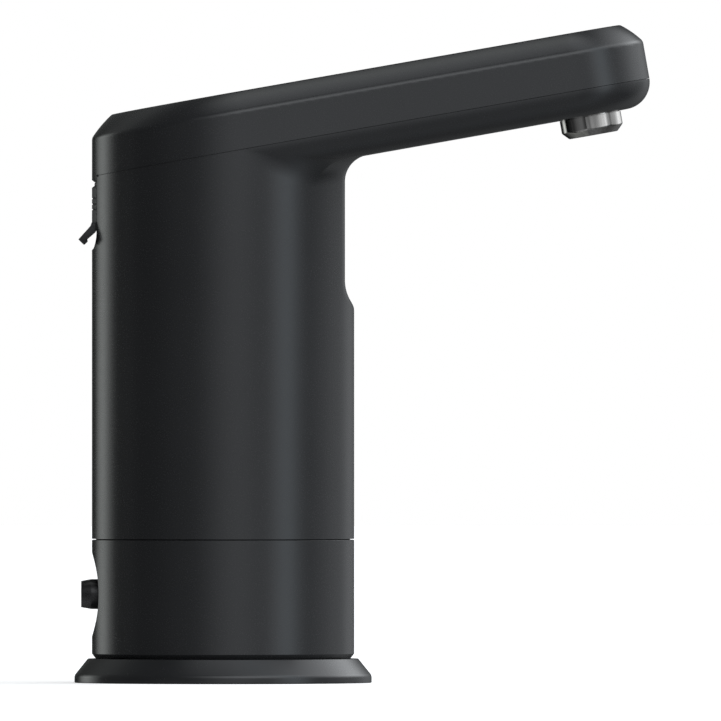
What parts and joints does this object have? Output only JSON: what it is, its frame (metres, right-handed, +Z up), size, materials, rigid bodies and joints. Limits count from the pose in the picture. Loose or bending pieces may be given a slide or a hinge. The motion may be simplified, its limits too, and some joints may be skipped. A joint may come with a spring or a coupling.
{
  "type": "countertop dispensing tap",
  "caption": "Free-standing battery-powered dispensing tap: round body with a gently rising flat spout, metal aerator, rear hose spigot, flap-covered charge port and magnetic swivel base.",
  "frame": {"origin": "centre of the base underside, on the body axis", "axes": "+Z up along the round body, +X towards the spout tip, Y across the spout"},
  "size_m": [0.1711, 0.0884, 0.1956],
  "materials": {
    "body_black": "fine textured, satin sheen",
    "base_black": "fine textured, slightly smoother than the body",
    "pad_rubber": "matt rubber",
    "flap_rubber": "matt silicone rubber",
    "plate_steel": "zinc plated",
    "magnet_nickel": "nickel plated",
    "aerator_metal": "dark bright plating, finely turned",
    "insert_plastic": "pale grey moulded mesh",
    "pump_plastic": "natural moulded resin",
    "gear_resin": "smooth acetal",
    "motor_steel": "plated steel can",
    "ferrite": "dark sintered ferrite",
    "rotor_copper": "copper windings on a laminated core",
    "screw_steel": "zinc plated screws",
    "silicone": "milky silicone tube",
    "board_green": "solder mask",
    "cell_wrap": "heat-shrink wrap",
    "cradle_plastic": "moulded plastic",
    "wire_cover": "insulated wire",
    "spigot_plastic": "smooth moulded plastic"
  },
  "bodies": {
    "base": {"base_plate": "base_black", "foot_pad": "pad_rubber"},
    "swivel": {"swivel_plate": "plate_steel"},
    "button": {"push_button": "base_black"},
    "flap": {"port_flap": "flap_rubber"},
    "rotor": {"motor_shaft": "motor_steel", "armature": "rotor_copper", "drive_gear": "gear_resin"},
    "idler": {"idler_gear": "gear_resin"},
    "tap": {"lower_case": "body_black", "bottom_cover": "cradle_plastic", "magnet_ring": "magnet_nickel", "cover_screws": "screw_steel", "seam_gasket": "pad_rubber", "inlet_spigot": "spigot_plastic", "inlet_nut": "spigot_plastic", "inlet_seal": "pad_rubber", "inlet_strainer": "insert_plastic", "suction_tube": "silicone", "pump_body": "pump_plastic", "pump_cover": "pump_plastic", "shaft_seal": "pad_rubber", "idler_pin": "plate_steel", "pump_screws": "screw_steel", "motor_plate": "cradle_plastic", "plate_screws": "screw_steel", "motor_can": "motor_steel", "motor_end_cap": "cradle_plastic", "stator_magnets": "ferrite", "battery_cradle": "cradle_plastic", "battery_cell": "cell_wrap", "body_shell": "body_black", "top_cover": "body_black", "cover_gasket": "pad_rubber", "control_board": "board_green", "board_screws": "screw_steel", "button_switch": "cradle_plastic", "charge_board": "board_green", "charge_board_screws": "screw_steel", "charge_socket": "magnet_nickel", "flap_anchor": "body_black", "outlet_fitting": "pump_plastic", "outlet_screws": "screw_steel", "aerator_body": "aerator_metal", "aerator_insert": "insert_plastic", "aerator_seal": "pad_rubber", "delivery_tube": "silicone", "wire_motor": "wire_cover", "wire_battery": "wire_cover"}
  },
  "joints": [
    {"name": "base_swivel", "type": "hinge", "parent": "base", "child": "swivel", "pos_m": [0, 0, 0.0038], "axis": [0, 0, 1], "continuous": true},
    {"name": "magnet_lift", "type": "slide", "parent": "swivel", "child": "tap", "axis": [0, 0, 1], "range_m": [0, 0.03]},
    {"name": "button_press", "type": "slide", "parent": "tap", "child": "button", "axis": [0.1736, 0, -0.9848], "range_m": [0, 0.0012], "stiffness_N_per_m": 1200, "springref_m": -0.0006},
    {"name": "flap_hinge", "type": "hinge", "parent": "tap", "child": "flap", "pos_m": [-0.03815, 0, 0.1489], "axis": [0, 1, 0], "range_deg": [0, 100], "stiffness_Nm_per_rad": 0.004, "springref_deg": -5.73},
    {"name": "motor_spin", "type": "hinge", "parent": "tap", "child": "rotor", "pos_m": [0.012, -0.0066, 0.05], "axis": [0, 0, 1], "continuous": true},
    {"name": "idler_spin", "type": "hinge", "parent": "tap", "child": "idler", "pos_m": [0.012, 0.0066, 0.025], "axis": [0, 0, 1], "continuous": true}
  ],
  "couplings": [
    {"joint": "idler_spin", "follows": "motor_spin", "ratio": -1}
  ]
}
